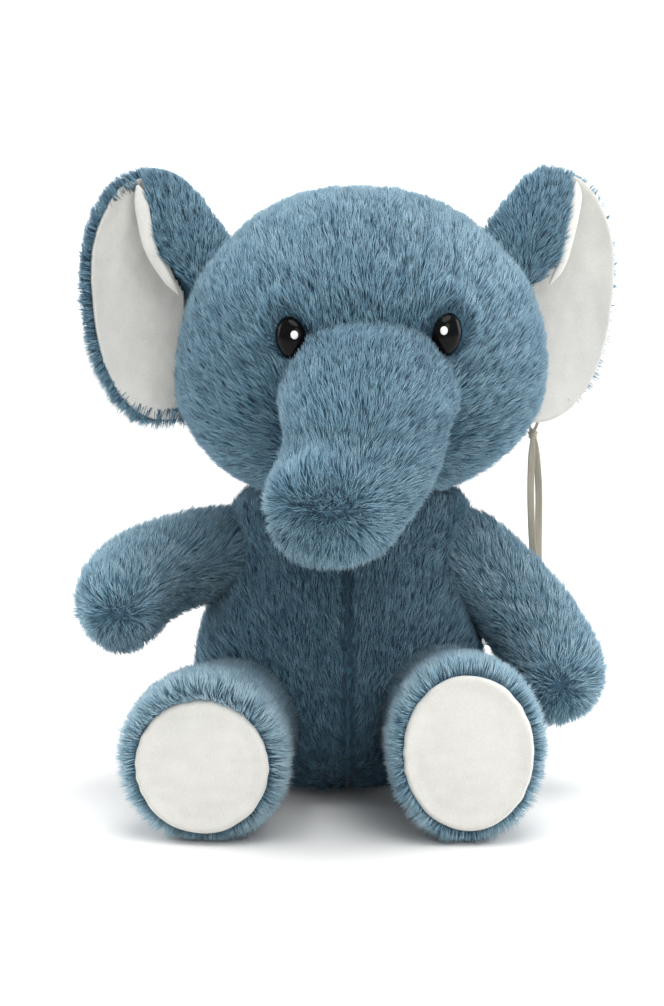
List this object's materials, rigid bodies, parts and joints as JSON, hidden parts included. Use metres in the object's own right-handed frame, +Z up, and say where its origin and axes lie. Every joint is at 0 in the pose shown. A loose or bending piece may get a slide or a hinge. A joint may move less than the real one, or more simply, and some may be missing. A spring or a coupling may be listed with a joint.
{
  "type": "plush elephant",
  "caption": "Seated plush elephant with a broad soft trunk, cupped lined ears, stuffed limbs with flat soles, oval eyes and a hanging satin ribbon.",
  "frame": {"origin": "on the floor under the seat, at the flat underside of the seat panel", "axes": "+Z up, the face looks along -Y, +X is the right-hand side as seen from the front"},
  "size_m": [0.2188, 0.2016, 0.2527],
  "materials": {
    "blue_fur": "dusty blue long-pile faux fur, matt, with paler tips and darker roots",
    "white_lining": "off-white short-pile velboa, soft matt",
    "stuffing": "white polyester fibre fill",
    "pouch_cloth": "plain woven pouch filled with pellets",
    "label_satin": "blank white satin label",
    "ribbon_satin": "taupe satin ribbon, soft sheen",
    "eye_gloss": "glossy black",
    "washer_plastic": "plain white moulded"
  },
  "bodies": {
    "torso": {"torso_front_left": "blue_fur", "torso_front_right": "blue_fur", "torso_back_left": "blue_fur", "torso_back_right": "blue_fur", "seat_panel": "blue_fur", "torso_stuffing": "stuffing", "pellet_pouch": "pouch_cloth", "care_label": "label_satin"},
    "head": {"head_panel_left": "blue_fur", "head_panel_right": "blue_fur", "head_stuffing": "stuffing", "eye_left": "eye_gloss", "eye_right": "eye_gloss", "eye_washer_left": "washer_plastic", "eye_washer_right": "washer_plastic"},
    "trunk": {"trunk_panel_left": "blue_fur", "trunk_panel_right": "blue_fur", "trunk_stuffing": "stuffing"},
    "ear_left": {"ear_back_left": "blue_fur", "ear_lining_left": "white_lining"},
    "ear_right": {"ear_back_right": "blue_fur", "ear_lining_right": "white_lining"},
    "arm_left": {"arm_left_front_panel": "blue_fur", "arm_left_back_panel": "blue_fur", "arm_left_stuffing": "stuffing"},
    "arm_right": {"arm_right_front_panel": "blue_fur", "arm_right_back_panel": "blue_fur", "arm_right_stuffing": "stuffing"},
    "leg_left": {"leg_left_upper_panel": "blue_fur", "leg_left_lower_panel": "blue_fur", "sole_left": "white_lining", "leg_left_stuffing": "stuffing"},
    "leg_right": {"leg_right_upper_panel": "blue_fur", "leg_right_lower_panel": "blue_fur", "sole_right": "white_lining", "leg_right_stuffing": "stuffing"},
    "tail": {"tail": "blue_fur"},
    "ribbon": {"ribbon_loop": "ribbon_satin", "ribbon_knot": "ribbon_satin", "ribbon_tail_front": "ribbon_satin", "ribbon_tail_back": "ribbon_satin"}
  },
  "joints": [
    {"name": "head_nod", "type": "hinge", "parent": "torso", "child": "head", "pos_m": [0.006, 0.005, 0.108], "axis": [1, 0, 0], "range_deg": [-8, 10], "stiffness_Nm_per_rad": 2, "springref_deg": -0.69},
    {"name": "trunk_lift", "type": "hinge", "parent": "head", "child": "trunk", "pos_m": [0.0108, -0.038, 0.171], "axis": [-1, 0, 0], "range_deg": [-4, 18], "stiffness_Nm_per_rad": 0.6, "springref_deg": 1.03},
    {"name": "ear_left_flop", "type": "hinge", "parent": "head", "child": "ear_left", "pos_m": [-0.036, 0.012, 0.232], "axis": [0.3417, 0, 0.9398], "range_deg": [-10, 10], "stiffness_Nm_per_rad": 0.06},
    {"name": "ear_right_flop", "type": "hinge", "parent": "head", "child": "ear_right", "pos_m": [0.056, 0.012, 0.232], "axis": [-0.3542, 0, 0.9352], "range_deg": [-10, 10], "stiffness_Nm_per_rad": 0.06},
    {"name": "arm_left_raise", "type": "hinge", "parent": "torso", "child": "arm_left", "pos_m": [-0.043, 0.002, 0.098], "axis": [0, 1, 0], "range_deg": [-14, 36], "stiffness_Nm_per_rad": 0.2, "springref_deg": 0.72},
    {"name": "arm_right_raise", "type": "hinge", "parent": "torso", "child": "arm_right", "pos_m": [0.05, 0.002, 0.097], "axis": [0, -1, 0], "range_deg": [-4, 50], "stiffness_Nm_per_rad": 0.2, "springref_deg": 0.57},
    {"name": "leg_left_lift", "type": "hinge", "parent": "torso", "child": "leg_left", "pos_m": [-0.04, -0.024, 0.032], "axis": [-1, 0, 0], "range_deg": [0, 20], "stiffness_Nm_per_rad": 0.5},
    {"name": "leg_right_lift", "type": "hinge", "parent": "torso", "child": "leg_right", "pos_m": [0.04, -0.024, 0.033], "axis": [-1, 0, 0], "range_deg": [0, 20], "stiffness_Nm_per_rad": 0.5},
    {"name": "tail_wag", "type": "hinge", "parent": "torso", "child": "tail", "pos_m": [0.002, 0.059, 0.042], "axis": [0, 1, 0], "range_deg": [-25, 25], "stiffness_Nm_per_rad": 0.02},
    {"name": "ribbon_swing", "type": "hinge", "parent": "ear_right", "child": "ribbon", "pos_m": [0.08, 0.025, 0.1525], "axis": [1, 0, 0], "range_deg": [-3, 35]}
  ]
}
